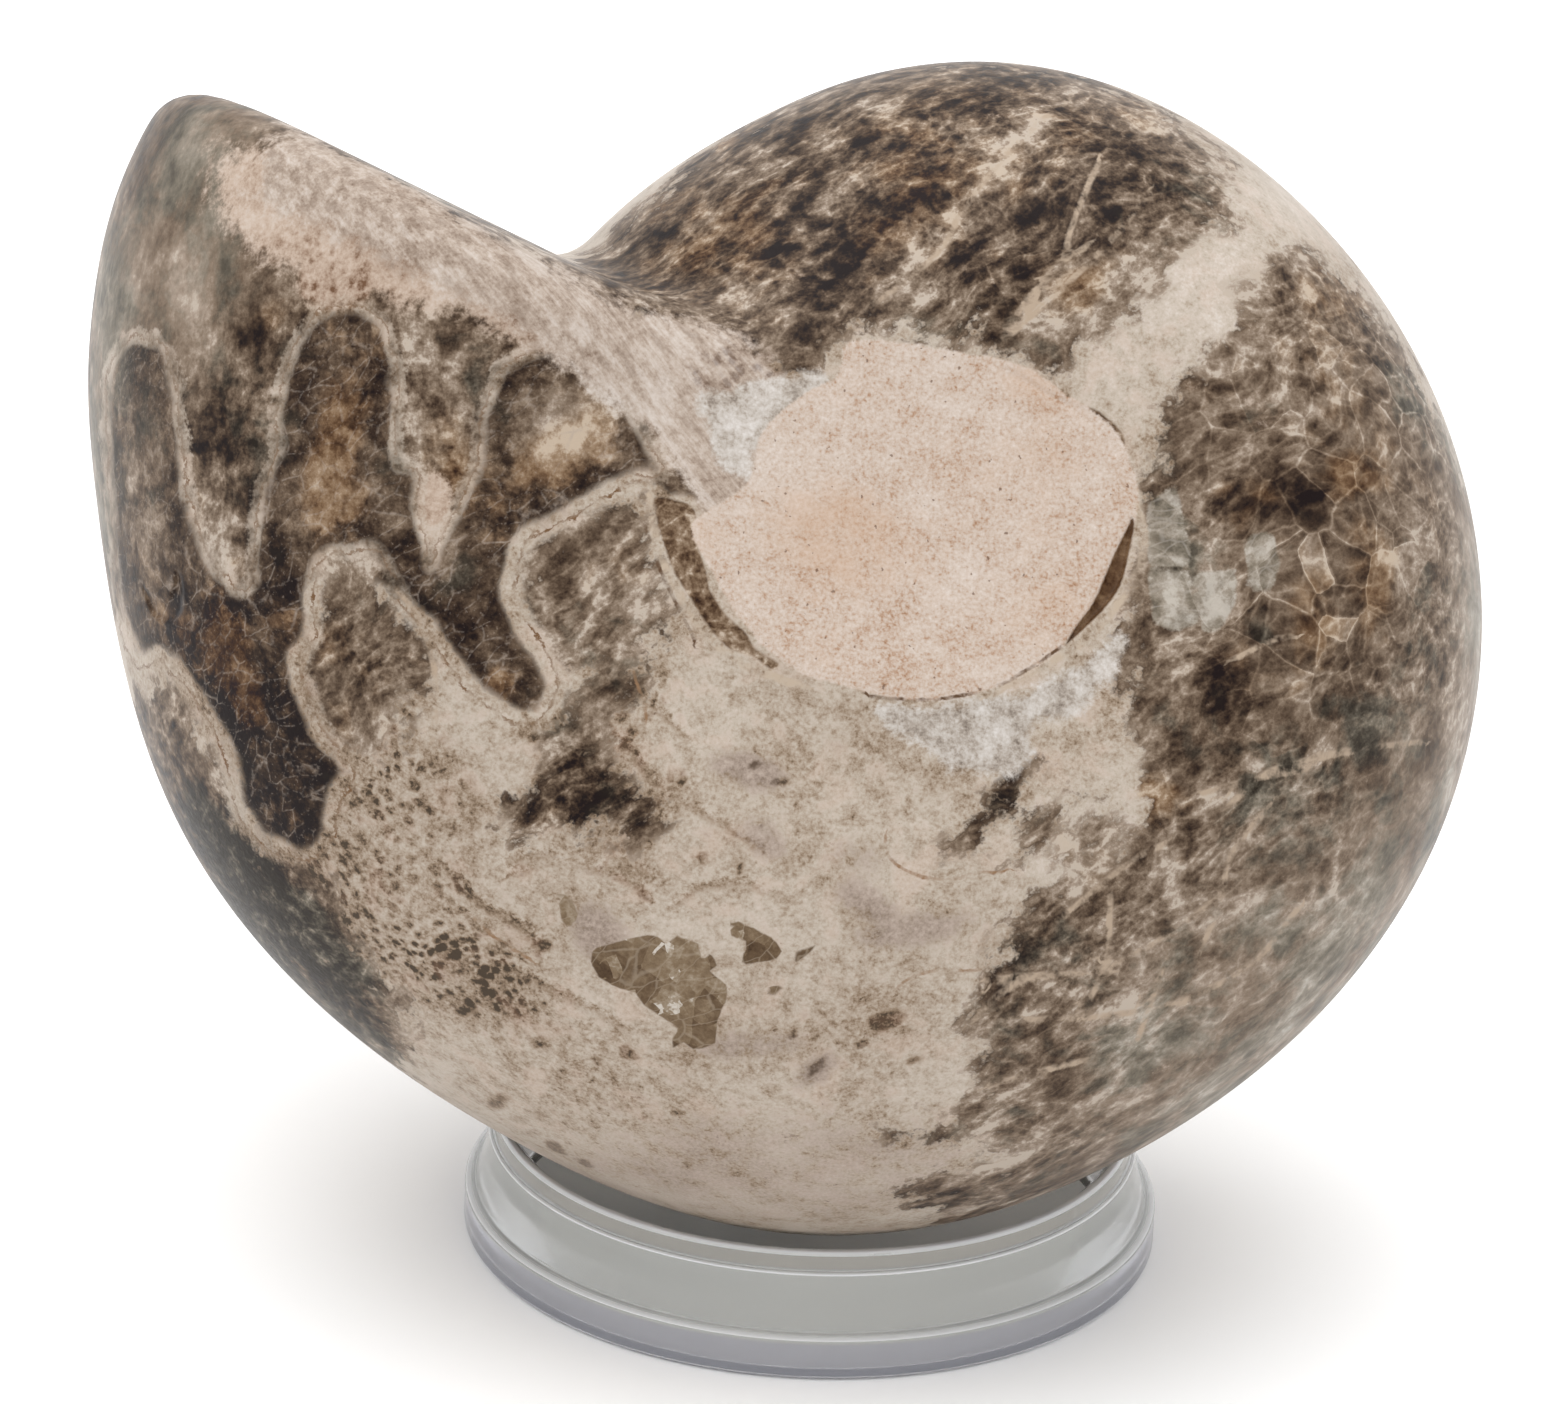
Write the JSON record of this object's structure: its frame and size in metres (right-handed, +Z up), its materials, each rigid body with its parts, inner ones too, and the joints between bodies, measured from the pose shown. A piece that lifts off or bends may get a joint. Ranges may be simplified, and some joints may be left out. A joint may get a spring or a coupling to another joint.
{
  "type": "fossil ammonite",
  "caption": "Polished coiled fossil shell with a rounded mouth and a filled navel, leaning back in a clear ring stand.",
  "frame": {"origin": "middle of the object's footprint box, on the surface it stands on", "axes": "+X to the right across the shell's widest side, +Y away from the front, where the shell's flank faces, +Z up"},
  "size_m": [0.0982, 0.0784, 0.0854],
  "materials": {
    "polished_stone": "satin polish",
    "clear_plastic": "clear, slightly frosted"
  },
  "bodies": {
    "root": {"fossil": "polished_stone", "ring_stand": "clear_plastic"}
  },
  "joints": []
}
